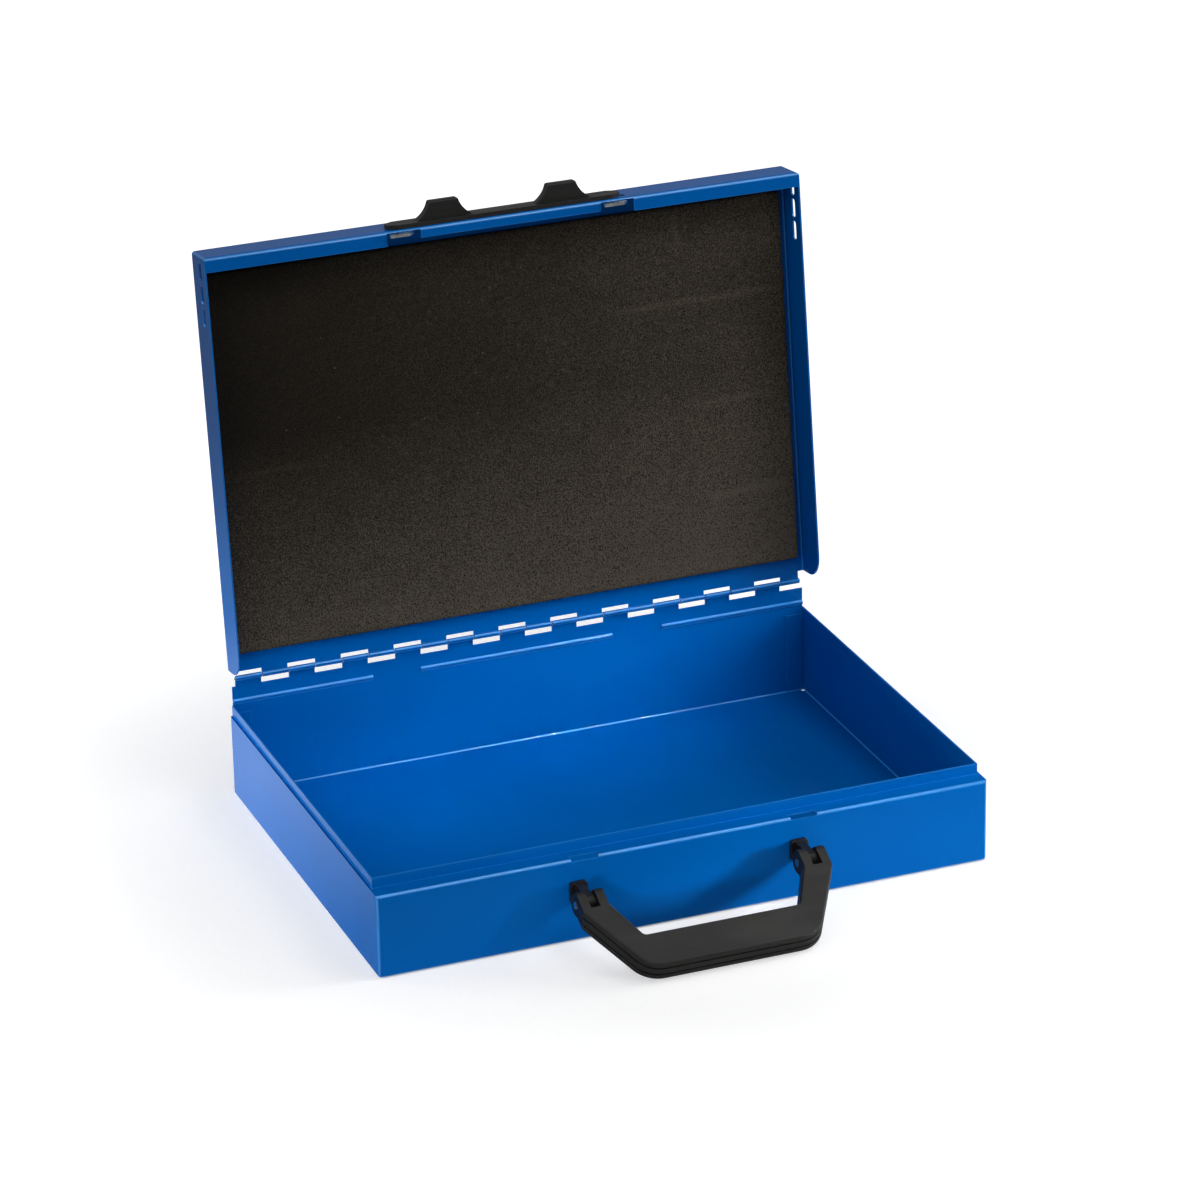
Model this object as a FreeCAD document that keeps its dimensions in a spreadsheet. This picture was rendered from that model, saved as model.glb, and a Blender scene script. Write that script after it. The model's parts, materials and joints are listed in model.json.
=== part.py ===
import FreeCAD, Part
import math
import os
import Sketcher

# Carrying case of folded sheet steel: a tray with a stepped rim, a lid on a rolled hinge,
# a sliding latch bar with two hooks, and a bail handle on two screwed brackets.
# Millimetres. Origin at the middle of the tray's underside, +Y towards the hinge, +Z up.
# The lid stands open and the handle lies forward on the table, as photographed.

SIZES = [
    ("case_width", 330.0),
    ("case_depth", 232.0),
    ("case_height", 68.0),
    ("sheet", 0.8),
    ("bend_inner", 1.0),
    ("overcut", 1.0),
    # tray
    ("ledge_height", 45.0),
    ("ledge_width", 9.6),
    ("lip_rise", 5.7),
    ("joggle", 1.3),
    ("bead_width", 3.0),
    ("bead_rise", 1.0),
    ("bead_back_width", 1.8),
    ("bead_back_depth", 0.6),
    ("bead_above_rim", 2.3),
    ("bead_left_length", 78.0),
    ("bead_right_length", 83.0),
    ("bead_gap_left", 27.0),
    ("bead_gap_right", 29.0),
    ("tab_width", 10.5),
    ("tab_drop", 4.0),
    ("tab_clearance", 0.2),
    ("relief_radius", 1.2),
    # rolled hinge
    ("wire_diameter", 1.2),
    ("wire_clearance", 0.05),
    ("roll_angle", 290.0),
    ("knuckle_gap", 0.6),
    ("tray_window", 5.0),
    ("lid_window", 3.3),
    ("row_inset_left", 3.3),
    ("row_inset_right", 4.0),
    ("row_cut", 4.0),
    ("leaf_inset", 1.7),
    ("wire_overhang", 0.6),
    # lid
    ("lid_open", 97.0),
    ("lid_gap", 0.3),
    ("lid_tail", 5.2),
    ("lid_end_share", 0.6),
    ("flange_width", 7.6),
    ("flange_trim", 2.2),
    ("vent_length", 10.4),
    ("vent_width", 4.2),
    ("vent_pitch", 12.1),
    ("vent_level_share", 0.6),
    ("vent_from_front", 8.6),
    ("foam_thickness", 5.0),
    ("foam_side_gap", 3.6),
    ("foam_front_gap", 12.5),
    ("foam_back_gap", 13.5),
    ("foam_corner", 2.0),
    # sliding latch
    ("slide_gap", 0.25),
    ("latch_travel", 4.0),
    ("bar_length", 129.0),
    ("bar_above_rim", 1.85),
    ("bar_height", 10.5),
    ("bar_thickness", 2.2),
    ("bar_taper", 5.0),
    ("bar_taper_rise", 3.0),
    ("tab_spacing", 65.4),
    ("tab_foot", 31.0),
    ("tab_top", 15.4),
    ("tab_reach", 12.0),
    ("tab_thickness", 5.0),
    ("tab_hollow", 14.0),
    ("tab_round", 1.2),
    ("hook_spacing", 118.4),
    ("hook_length", 13.2),
    ("hook_thickness", 1.5),
    ("hook_shank", 7.0),
    ("hook_foot", 3.0),
    ("hook_clearance", 0.4),
    ("hook_chamfer", 2.4),
    ("boss_width", 4.4),
    ("boss_height", 4.4),
    ("boss_from_heel", 4.5),
    ("boss_fit", 0.3),
    ("notch_clearance", 0.7),
    ("notch_depth", 4.2),
    ("notch_drop", 1.3),
    ("latch_rivet_diameter", 2.5),
    ("latch_rivet_head", 5.0),
    ("latch_rivet_head_height", 0.9),
    ("latch_rivet_grip", 3.0),
    # handle and its brackets
    ("pivot_spacing", 119.2),
    ("pivot_height", 27.4),
    ("pivot_reach", 15.0),
    ("table_gap", 0.35),
    ("handle_above", 7.3),
    ("handle_below", 4.0),
    ("lug_width", 14.0),
    ("lug_end", 4.6),
    ("lug_round", 4.0),
    ("eye_radius", 5.8),
    ("fork_slot", 5.2),
    ("fork_depth", 7.6),
    ("grip_inner_reach", 28.7),
    ("grip_outer_reach", 48.0),
    ("grip_inner_half", 41.5),
    ("grip_outer_half", 45.2),
    ("arm_inner_start", 5.8),
    ("arm_outer_start", 9.7),
    ("grip_outer_round", 15.0),
    ("grip_inner_round", 3.0),
    ("bail_flare", 1.6),
    ("rib_depth", 1.3),
    ("rib_groove", 1.1),
    ("handle_edge", 0.8),
    ("pin_diameter", 4.0),
    ("pin_clearance", 0.06),
    ("pin_proud", 0.25),
    ("tongue_clearance", 0.4),
    ("tongue_radius", 5.0),
    ("bracket_plate", 2.6),
    ("bracket_width", 9.0),
    ("bracket_height", 11.4),
    ("bracket_corner", 1.0),
    ("backing_width", 13.0),
    ("backing_height", 20.0),
    ("backing_thickness", 1.2),
    ("screw_diameter", 2.6),
    ("screw_depth", 6.0),
    ("screw_head", 5.2),
    ("screw_head_height", 1.6),
]

doc = FreeCAD.newDocument("carrying_case")
dims = doc.addObject("Spreadsheet::Sheet", "dims")
for row, (alias, number) in enumerate(SIZES, start=1):
    dims.set("A%d" % row, alias)
    dims.set("B%d" % row, repr(number))
    dims.setAlias("B%d" % row, alias)
doc.recompute()


class Dim:
    """A length held as its value and as the sheet expression that gives it."""

    def __init__(self, value, expr):
        self.value = float(value)
        self.expr = expr

    @staticmethod
    def of(other):
        return other if isinstance(other, Dim) else Dim(other, repr(float(other)))

    def join(self, other, sign, value):
        return Dim(value, "(%s %s %s)" % (self.expr, sign, Dim.of(other).expr))

    def root(self):
        return Dim(math.sqrt(self.value), "sqrt(%s)" % self.expr)

    def arcsine(self):
        return Dim(math.degrees(math.asin(self.value)), "asin(%s)" % self.expr)

    def arctangent(self):
        return Dim(math.degrees(math.atan(self.value)), "atan(%s)" % self.expr)

    def __add__(self, other):
        return self.join(other, "+", self.value + Dim.of(other).value)

    def __sub__(self, other):
        return self.join(other, "-", self.value - Dim.of(other).value)

    def __mul__(self, other):
        return self.join(other, "*", self.value * Dim.of(other).value)

    def __truediv__(self, other):
        return self.join(other, "/", self.value / Dim.of(other).value)

    def __neg__(self):
        return ZERO - self

    def __radd__(self, other):
        return Dim.of(other) + self

    def __rsub__(self, other):
        return Dim.of(other) - self

    def __rmul__(self, other):
        return Dim.of(other) * self


ZERO = Dim(0.0, "0.0")
D = {alias: Dim(number, "dims." + alias) for alias, number in SIZES}

KNUCKLES = 11
half_width = D["case_width"] / 2
half_depth = D["case_depth"] / 2
sheet = D["sheet"]
bend_outer = D["bend_inner"] + sheet
overcut = D["overcut"]
rim_height = D["ledge_height"] + D["lip_rise"]
roll_inner = D["wire_diameter"] / 2 + D["wire_clearance"]
roll_outer = roll_inner + sheet
hinge_y = half_depth - roll_outer
hinge_z = D["case_height"] - roll_outer
row_start = D["row_inset_left"] - half_width
row_end = half_width - D["row_inset_right"]
knuckle_pitch = (row_end - row_start + D["row_cut"]) / (KNUCKLES * 2)
knuckle_width = knuckle_pitch - D["knuckle_gap"]
lid_front = half_depth + hinge_y
lid_rim = D["ledge_height"] + D["lid_gap"] - hinge_z
lid_ceiling = roll_outer - sheet
leaf_half = half_width - D["leaf_inset"]
pivot_y = -half_depth - D["pivot_reach"]
pivot_z = D["pivot_height"]
pivot_x = D["pivot_spacing"] / 2
hook_half = D["hook_length"] / 2
hook_middle = [D["hook_spacing"] / -2, D["hook_spacing"] / 2]
FULL_TURN = Dim(360.0, "360.0")
VENTS = 3
SIDES = (("left", -1), ("right", 1))
EPS = 1e-4


def body(label):
    made = doc.addObject("PartDesign::Body", label)
    made.Label = label
    return made


def bind(obj, prop, dim):
    """Sets a size on a feature and ties it to the sheet."""
    setattr(obj, prop, dim.value)
    obj.setExpression(prop, dim.expr)


def place(obj, x=ZERO, y=ZERO, z=ZERO, turn=None, axis=1):
    """Places a piece; turn is its angle about X, or about -X with axis -1."""
    angle = turn.value if turn else 0.0
    spin = FreeCAD.Rotation(FreeCAD.Vector(axis, 0, 0), angle)
    obj.Placement = FreeCAD.Placement(FreeCAD.Vector(x.value, y.value, z.value), spin)
    for name, dim in (("x", x), ("y", y), ("z", z)):
        obj.setExpression("Placement.Base." + name, dim.expr)
    if turn:
        obj.setExpression("Placement.Rotation.Angle", turn.expr)


def sketch(owner, name, role, offset=None, rise=None):
    """A sketch on one of the body's own planes, moved along its normal and its own y."""
    plane = [f for f in owner.Origin.OriginFeatures if f.Role == role][0]
    made = owner.newObject("Sketcher::SketchObject", name)
    made.AttachmentSupport = [(plane, "")]
    made.MapMode = "FlatFace"
    shift = FreeCAD.Vector(0, (rise or ZERO).value, (offset or ZERO).value)
    made.AttachmentOffset = FreeCAD.Placement(shift, FreeCAD.Rotation())
    if offset:
        made.setExpression("AttachmentOffset.Base.z", offset.expr)
    if rise:
        made.setExpression("AttachmentOffset.Base.y", rise.expr)
    return made


def drive(sk, kind, *args):
    """Adds a dimension to a sketch; the last argument is the size that drives it."""
    dim = args[-1]
    index = sk.addConstraint(Sketcher.Constraint(kind, *args[:-1], dim.value))
    sk.setExpression("Constraints[%d]" % index, dim.expr)


def pin_point(sk, geo, pos, x, y):
    drive(sk, "DistanceX", -1, 1, geo, pos, x)
    drive(sk, "DistanceY", -1, 1, geo, pos, y)


def vector(point):
    return FreeCAD.Vector(point[0].value, point[1].value, 0)


def outline(sk, corners, bows=None, rounds=None):
    """A closed outline through driven corners.

    bows maps a side's number to (radius, +1 or -1): that side is an arc bowed to the left or
    right of its way. rounds maps a corner's number to the radius that rounds it.
    """
    bows = bows or {}
    rounds = rounds or {}
    count = len(corners)
    spots = [vector(c) for c in corners]
    tangents = {}
    for i, radius in rounds.items():
        back = (spots[i - 1] - spots[i]).normalize()
        ahead = (spots[(i + 1) % count] - spots[i]).normalize()
        reach = radius.value / math.tan(back.getAngle(ahead) / 2)
        tangents[i] = (spots[i] + back * reach, spots[i] + ahead * reach)
    sides = []
    for i in range(count):
        j = (i + 1) % count
        a = tangents[i][1] if i in tangents else spots[i]
        b = tangents[j][0] if j in tangents else spots[j]
        start = 1
        if i in bows:
            radius, way = bows[i]
            chord = b - a
            left = FreeCAD.Vector(-chord.y, chord.x, 0).normalize()
            sag = radius.value - math.sqrt(radius.value ** 2 - chord.Length ** 2 / 4)
            geo = sk.addGeometry(Part.Arc(a, (a + b) * 0.5 + left * (sag * way), b), False)
            drive(sk, "Radius", geo, radius)
            start = 1 if (sk.getPoint(geo, 1) - a).Length < EPS else 2
        else:
            geo = sk.addGeometry(Part.LineSegment(a, b), False)
        sides.append((geo, start, 3 - start))
    for i in range(count):
        before, here = sides[i - 1], sides[i]
        x, y = corners[i]
        if i not in rounds:
            joint = Sketcher.Constraint("Coincident", before[0], before[2], here[0], here[1])
            sk.addConstraint(joint)
            pin_point(sk, here[0], here[1], x, y)
            continue
        a, b = tangents[i]
        middle = (a + b) * 0.5
        inward = (middle - spots[i]).normalize()
        depth = math.sqrt(rounds[i].value ** 2 + (a - spots[i]).Length ** 2)
        through = spots[i] + inward * (depth - rounds[i].value)
        geo = sk.addGeometry(Part.Arc(a, through, b), False)
        first = 1 if (sk.getPoint(geo, 1) - a).Length < EPS else 2
        sk.addConstraint(Sketcher.Constraint("Tangent", before[0], before[2], geo, first))
        sk.addConstraint(Sketcher.Constraint("Tangent", geo, 3 - first, here[0], here[1]))
        drive(sk, "Radius", geo, rounds[i])
        mark = sk.addGeometry(Part.Point(spots[i]), True)
        pin_point(sk, mark, 1, x, y)
        for side in (before, here):
            sk.addConstraint(Sketcher.Constraint("PointOnObject", mark, 1, side[0]))


def rectangle(sk, x0, y0, x1, y1):
    outline(sk, [(x0, y0), (x1, y0), (x1, y1), (x0, y1)])


def circle(sk, x, y, radius):
    ring = Part.Circle(vector((x, y)), FreeCAD.Vector(0, 0, 1), radius.value)
    geo = sk.addGeometry(ring, False)
    pin_point(sk, geo, 3, x, y)
    drive(sk, "Radius", geo, radius)


def slot(sk, x, y, length, width):
    """A slot with round ends, its long way along the sketch's x."""
    radius = width / 2
    reach = length / 2 - radius
    ends = []
    for side, start in ((1, -math.pi / 2), (-1, math.pi / 2)):
        cx = x + reach * side
        ring = Part.Circle(vector((cx, y)), FreeCAD.Vector(0, 0, 1), radius.value)
        geo = sk.addGeometry(Part.ArcOfCircle(ring, start, start + math.pi), False)
        pin_point(sk, geo, 3, cx, y)
        ends.append(geo)
    drive(sk, "Radius", ends[0], radius)
    sk.addConstraint(Sketcher.Constraint("Equal", ends[0], ends[1]))
    for a, b in ((ends[0], ends[1]), (ends[1], ends[0])):
        line = Part.LineSegment(sk.getPoint(a, 2), sk.getPoint(b, 1))
        geo = sk.addGeometry(line, False)
        sk.addConstraint(Sketcher.Constraint("Tangent", a, 2, geo, 1))
        sk.addConstraint(Sketcher.Constraint("Tangent", geo, 2, b, 1))


def pad(owner, sk, length, name, both=False):
    made = owner.newObject("PartDesign::Pad", name)
    made.Profile = sk
    bind(made, "Length", length)
    made.Midplane = both
    doc.recompute()
    return made


def pocket(owner, sk, depth, name, both=False, front=False):
    """Cuts behind the sketch's plane, in front of it with front set, or both ways."""
    before = owner.Shape.Volume
    made = owner.newObject("PartDesign::Pocket", name)
    made.Profile = sk
    bind(made, "Length", depth)
    made.Midplane = both
    made.Reversed = front
    doc.recompute()
    if not owner.Shape.Volume < before - EPS:
        raise ValueError("%s cuts nothing" % name)
    return made


def revolve(owner, sk, angle, name, axis, back=False):
    made = owner.newObject("PartDesign::Revolution", name)
    made.Profile = sk
    made.ReferenceAxis = (sk, [axis])
    made.Reversed = back
    bind(made, "Angle", angle)
    doc.recompute()
    return made


def dress(owner, kind, prop, size, name, test):
    """Rounds or chamfers the edges whose middle point and direction pass the test."""
    tip = owner.Tip
    names = []
    for i, edge in enumerate(tip.Shape.Edges, start=1):
        mid = edge.valueAt((edge.FirstParameter + edge.LastParameter) / 2)
        way = edge.Vertexes[-1].Point - edge.Vertexes[0].Point
        if test(mid, way):
            names.append("Edge%d" % i)
    if not names:
        raise ValueError("%s finds no edges" % name)
    made = owner.newObject(kind, name)
    made.Base = (tip, names)
    bind(made, prop, size)
    doc.recompute()
    return made


def fillet(owner, radius, name, test):
    return dress(owner, "PartDesign::Fillet", "Radius", radius, name, test)


def chamfer(owner, size, name, test):
    return dress(owner, "PartDesign::Chamfer", "Size", size, name, test)


def near(a, b):
    return abs(a - Dim.of(b).value) < EPS


def runs(way, axis):
    """True for an edge that runs along the named axis."""
    parts = {"x": abs(way.x), "y": abs(way.y), "z": abs(way.z)}
    return parts[axis] > EPS and sum(parts.values()) - parts[axis] < EPS


def cell(index):
    """Left edge of a knuckle in the hinge row, counted from the left end."""
    return row_start + knuckle_pitch * index + D["knuckle_gap"] / 2


# The tray: one folded and welded sheet.
base = body("base_shell")
sk = sketch(base, "pan_outline", "XY_Plane")
rectangle(sk, -half_width, -half_depth, half_width, half_depth)
pad(base, sk, D["ledge_height"], "pan")
sk = sketch(base, "rim_outline", "XY_Plane", D["ledge_height"])
rim_half = half_width - D["joggle"]
rectangle(sk, -rim_half, D["ledge_width"] - half_depth, rim_half, half_depth)
pad(base, sk, D["lip_rise"], "rim")


def outer_bend(mid, way):
    side = near(abs(mid.x), half_width)
    end = near(abs(mid.y), half_depth)
    if runs(way, "z"):
        return side and end
    if near(mid.z, 0.0):
        return side or end
    return runs(way, "x") and near(mid.y, -half_depth) and near(mid.z, D["ledge_height"])


fillet(base, bend_outer, "bends", outer_bend)
sk = sketch(base, "inside_low_outline", "XY_Plane", D["ledge_height"] - sheet)
rectangle(sk, sheet - half_width, sheet - half_depth, half_width - sheet, half_depth - sheet)
pocket(base, sk, D["ledge_height"] - sheet * 2, "inside_low")
sk = sketch(base, "inside_high_outline", "XY_Plane", rim_height)
mouth_half = rim_half - sheet
mouth_front = D["ledge_width"] + sheet - half_depth
rectangle(sk, -mouth_half, mouth_front, mouth_half, half_depth - sheet)
pocket(base, sk, D["lip_rise"] + sheet, "inside_high")


def inner_bend(mid, way):
    side = near(abs(mid.x), half_width - sheet)
    end = near(abs(mid.y), half_depth - sheet)
    return near(mid.z, sheet) and (side or end)


fillet(base, D["bend_inner"], "inner_bends", inner_bend)

# The back wall's upper leaf and its row of rolled knuckles.
leaf_top = hinge_z - D["tray_window"]
sk = sketch(base, "leaf_outline", "XY_Plane", D["ledge_height"])
rectangle(sk, -leaf_half, half_depth - sheet, leaf_half, half_depth)
pad(base, sk, leaf_top - D["ledge_height"], "leaf")
sk = sketch(base, "teeth_outline", "XY_Plane", leaf_top)
for i in range(KNUCKLES):
    rectangle(sk, cell(2 * i), half_depth - sheet, cell(2 * i) + knuckle_width, half_depth)
pad(base, sk, D["tray_window"], "teeth")
sk = sketch(base, "roll_outline", "XY_Plane", hinge_z, hinge_y)
for i in range(KNUCKLES):
    rectangle(sk, cell(2 * i), ZERO, cell(2 * i) + knuckle_width, roll_outer)
revolve(base, sk, D["roll_angle"], "rolls", "H_Axis")


def wire_bore(owner, y, z):
    """Cuts the rolls' inside with eight flats, each clear of the wire by the running fit."""
    half = roll_inner * (Dim(2.0, "2.0").root() - 1.0)
    ring = [(roll_inner, -half), (roll_inner, half), (half, roll_inner), (-half, roll_inner)]
    ring += [(-a, -b) for a, b in ring]
    made = sketch(owner, "bore_outline", "YZ_Plane")
    outline(made, [(y + a, z + b) for a, b in ring])
    pocket(owner, made, D["case_width"], "wire_bore", both=True)


wire_bore(base, hinge_y, hinge_z)

# Stiffening beads pressed into the back wall in three lengths.
bead_z = rim_height + D["bead_above_rim"]
middle_start = D["bead_left_length"] + D["bead_gap_left"] - leaf_half
right_start = leaf_half - D["bead_right_length"]
beads = [
    (-leaf_half, D["bead_left_length"]),
    (middle_start, right_start - D["bead_gap_right"] - middle_start),
    (right_start, D["bead_right_length"]),
]


def arch(sk, y, width, rise):
    """A low arch standing out to smaller y from an upright line."""
    half = width / 2
    radius = (half * half + rise * rise) / (rise * 2)
    outline(sk, [(y, bead_z - half), (y, bead_z + half)], bows={1: (radius, -1)})


for i, (left, length) in enumerate(beads):
    sk = sketch(base, "bead_outline_%d" % i, "YZ_Plane", left)
    arch(sk, half_depth - sheet, D["bead_width"], D["bead_rise"])
    pad(base, sk, length, "bead_%d" % i)
    sk = sketch(base, "bead_back_outline_%d" % i, "YZ_Plane", left)
    arch(sk, half_depth, D["bead_back_width"], D["bead_back_depth"])
    pocket(base, sk, length, "bead_back_%d" % i, front=True)

# Relief holes at the back corners of the floor, hook notches in the ledge, screw holes.
sk = sketch(base, "relief_outline", "XY_Plane", bend_outer)
for name, side in SIDES:
    circle(sk, (half_width - bend_outer) * side, half_depth - bend_outer, D["relief_radius"])
pocket(base, sk, bend_outer + overcut, "relief_holes")
sk = sketch(base, "notch_outline", "XY_Plane", D["ledge_height"])
for x in hook_middle:
    free = x + D["latch_travel"]
    reach = hook_half + D["notch_clearance"]
    back = D["notch_depth"] - half_depth
    rectangle(sk, free - reach, -half_depth - overcut, free + reach, back)
pocket(base, sk, D["notch_drop"], "hook_notches")
sk = sketch(base, "screw_hole_outline", "XZ_Plane", half_depth)
for name, side in SIDES:
    circle(sk, pivot_x * side, pivot_z, D["screw_diameter"] / 2)
pocket(base, sk, sheet + overcut, "screw_holes")

# Corner tabs welded flat to the inside of the back wall, against the side walls.
for name, side in SIDES:
    tab = body("corner_tab_" + name)
    foot = sheet + D["bend_inner"] + D["tab_clearance"]
    sk = sketch(tab, "tab_outline", "XY_Plane", foot)
    inner = (half_width - sheet - D["tab_width"]) * side
    outer = (rim_half - sheet) * side
    rectangle(sk, inner, half_depth - sheet * 2, outer, half_depth - sheet)
    pad(tab, sk, rim_height - D["tab_drop"] - foot, "tab")

# The hinge wire through all knuckles.
wire = body("hinge_wire")
sk = sketch(wire, "wire_outline", "YZ_Plane", row_start - D["wire_overhang"])
circle(sk, ZERO, ZERO, D["wire_diameter"] / 2)
pad(wire, sk, row_end - row_start + D["wire_overhang"] * 2, "wire")
place(wire, ZERO, hinge_y, hinge_z)

# The lid, drawn shut about its hinge line and then swung open.
lid = body("lid_shell")
sk = sketch(lid, "lid_outline", "XY_Plane", lid_rim)
rectangle(sk, -half_width, -lid_front, half_width, -D["lid_tail"])
pad(lid, sk, roll_outer - lid_rim, "lid_block")


def lid_bend(mid, way):
    side = near(abs(mid.x), half_width)
    front = near(mid.y, -lid_front)
    if runs(way, "z"):
        return side and front
    if near(mid.z, roll_outer):
        return side or front
    return front and runs(way, "x")


fillet(lid, bend_outer, "lid_bends", lid_bend)
flange_top = lid_rim + sheet
sk = sketch(lid, "lid_inside_outline", "XY_Plane", flange_top)
rectangle(sk, sheet - half_width, sheet - lid_front, half_width - sheet, ZERO)
pocket(lid, sk, lid_ceiling - flange_top, "lid_inside", front=True)
sk = sketch(lid, "lid_mouth_outline", "XY_Plane", lid_rim)
flange_edge = D["flange_width"] - lid_front
rectangle(sk, sheet - half_width, flange_edge, half_width - sheet, ZERO)
pocket(lid, sk, sheet + overcut, "lid_mouth", front=True)


def lid_inner_bend(mid, way):
    side = near(abs(mid.x), half_width - sheet)
    front = near(mid.y, sheet - lid_front)
    if near(mid.z, flange_top):
        return front and runs(way, "x")
    return near(mid.z, lid_ceiling) and (side or front)


fillet(lid, D["bend_inner"], "lid_inner_bends", lid_inner_bend)


def wall_end(mid, way):
    return runs(way, "x") and near(mid.y, -D["lid_tail"]) and near(mid.z, lid_rim)


fillet(lid, (lid_ceiling - lid_rim) * D["lid_end_share"], "wall_ends", wall_end)

# The front wall's return flange, notched for the hooks and trimmed between the notches.
sk = sketch(lid, "flange_notch_outline", "XY_Plane", lid_rim + bend_outer)
reach = hook_half + D["notch_clearance"]
lefts = [x - reach for x in hook_middle]
rights = [x + reach + D["latch_travel"] for x in hook_middle]
wall_inside = sheet - lid_front
trim = flange_edge - D["flange_trim"]
beyond = flange_edge + overcut
outline(sk, [
    (lefts[0], wall_inside),
    (rights[0], wall_inside),
    (rights[0], trim),
    (lefts[1], trim),
    (lefts[1], wall_inside),
    (rights[1], wall_inside),
    (rights[1], beyond),
    (lefts[0], beyond),
])
pocket(lid, sk, bend_outer + overcut, "flange_notches")

# The panel's rear strip with its own rolled knuckles, between those of the tray.
sk = sketch(lid, "lid_leaf_outline", "XY_Plane", lid_ceiling)
strip = -D["lid_tail"] - overcut
rectangle(sk, -row_end, strip, row_end, -D["lid_window"])
pad(lid, sk, sheet, "lid_leaf")
lid_cells = []
for i in range(KNUCKLES):
    left = cell(2 * i + 1)
    right = left + knuckle_width
    lid_cells.append((left, right if right.value < row_end.value else row_end))
sk = sketch(lid, "lid_teeth_outline", "XY_Plane", lid_ceiling)
for left, right in lid_cells:
    rectangle(sk, left, -D["lid_window"], right, ZERO)
pad(lid, sk, sheet, "lid_teeth")
sk = sketch(lid, "lid_roll_outline", "XZ_Plane")
for left, right in lid_cells:
    rectangle(sk, left, ZERO, right, roll_outer)
revolve(lid, sk, D["roll_angle"], "lid_rolls", "H_Axis")
wire_bore(lid, ZERO, ZERO)

# Three slots near the front of each side wall, and two slots for the latch bosses.
sk = sketch(lid, "vent_outline", "YZ_Plane")
for i in range(VENTS):
    y = D["vent_from_front"] - lid_front + D["vent_pitch"] * i
    slot(sk, y, lid_rim * D["vent_level_share"], D["vent_length"], D["vent_width"])
pocket(lid, sk, D["case_width"] + overcut, "vents", both=True)
bar_low = lid_rim + D["bar_above_rim"]
bar_high = bar_low + D["bar_height"]
bar_middle = (bar_low + bar_high) / 2
boss_x = [x + hook_half - D["boss_from_heel"] for x in hook_middle]
sk = sketch(lid, "boss_slot_outline", "XZ_Plane", lid_front)
for x in boss_x:
    left = x - D["boss_width"] / 2 - D["boss_fit"]
    right = x + D["boss_width"] / 2 + D["latch_travel"] + D["boss_fit"]
    half = D["boss_height"] / 2 + D["boss_fit"]
    rectangle(sk, left, bar_middle - half, right, bar_middle + half)
pocket(lid, sk, sheet + overcut, "boss_slots")

# The foam pad glued inside the lid.
foam = body("foam_liner")
sk = sketch(foam, "foam_outline", "XY_Plane", lid_ceiling - D["foam_thickness"])
foam_half = half_width - sheet - D["foam_side_gap"]
rectangle(sk, -foam_half, D["foam_front_gap"] - lid_front, foam_half, -D["foam_back_gap"])
pad(foam, sk, D["foam_thickness"], "foam")
chamfer(foam, D["foam_corner"], "foam_corners", lambda mid, way: runs(way, "z"))

# The latch: a moulded bar outside the lid's front wall, with two thumb tabs.
bar = body("latch_bar")
bar_face = lid_front + D["slide_gap"]
bar_skin = bar_face + D["bar_thickness"]
bar_half = D["bar_length"] / 2
bar_flat = bar_half - D["bar_taper"]
sk = sketch(bar, "bar_outline", "XZ_Plane", bar_face)
outline(sk, [
    (-bar_flat, bar_low),
    (bar_flat, bar_low),
    (bar_half, bar_low + D["bar_taper_rise"]),
    (bar_half, bar_high - D["bar_taper_rise"]),
    (bar_flat, bar_high),
    (-bar_flat, bar_high),
    (-bar_half, bar_high - D["bar_taper_rise"]),
    (-bar_half, bar_low + D["bar_taper_rise"]),
])
pad(bar, sk, D["bar_thickness"], "bar")
tab_root = D["bar_thickness"] / 2 - bar_skin
tab_tip = -lid_front - D["tab_reach"]
sk = sketch(bar, "thumb_outline", "XY_Plane", bar_middle)
for name, side in SIDES:
    middle = D["tab_spacing"] / 2 * side
    foot = D["tab_foot"] / 2
    top = D["tab_top"] / 2
    corners = [
        (middle + foot, tab_root),
        (middle - foot, tab_root),
        (middle - foot, -bar_skin),
        (middle - top, tab_tip),
        (middle + top, tab_tip),
        (middle + foot, -bar_skin),
    ]
    hollow = (D["tab_hollow"], 1)
    outline(sk, corners, bows={2: hollow, 4: hollow})
pad(bar, sk, D["tab_thickness"], "thumb_tabs", both=True)


def tab_edge(mid, way):
    return near(mid.y, tab_tip)


fillet(bar, D["tab_round"], "tab_rounds", tab_edge)
sk = sketch(bar, "boss_outline", "XZ_Plane", bar_face)
hook_near = lid_front - sheet - D["slide_gap"]
for x in boss_x:
    wide = D["boss_width"] / 2
    tall = D["boss_height"] / 2
    rectangle(sk, x - wide, bar_middle - tall, x + wide, bar_middle + tall)
boss = pad(bar, sk, bar_face - hook_near, "bosses")
boss.Reversed = True
doc.recompute()
sk = sketch(bar, "bar_bore_outline", "XZ_Plane", hook_near)
for x in boss_x:
    circle(sk, x, bar_middle, D["latch_rivet_diameter"] / 2)
pocket(bar, sk, D["latch_rivet_grip"], "bar_bores", front=True)

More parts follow.
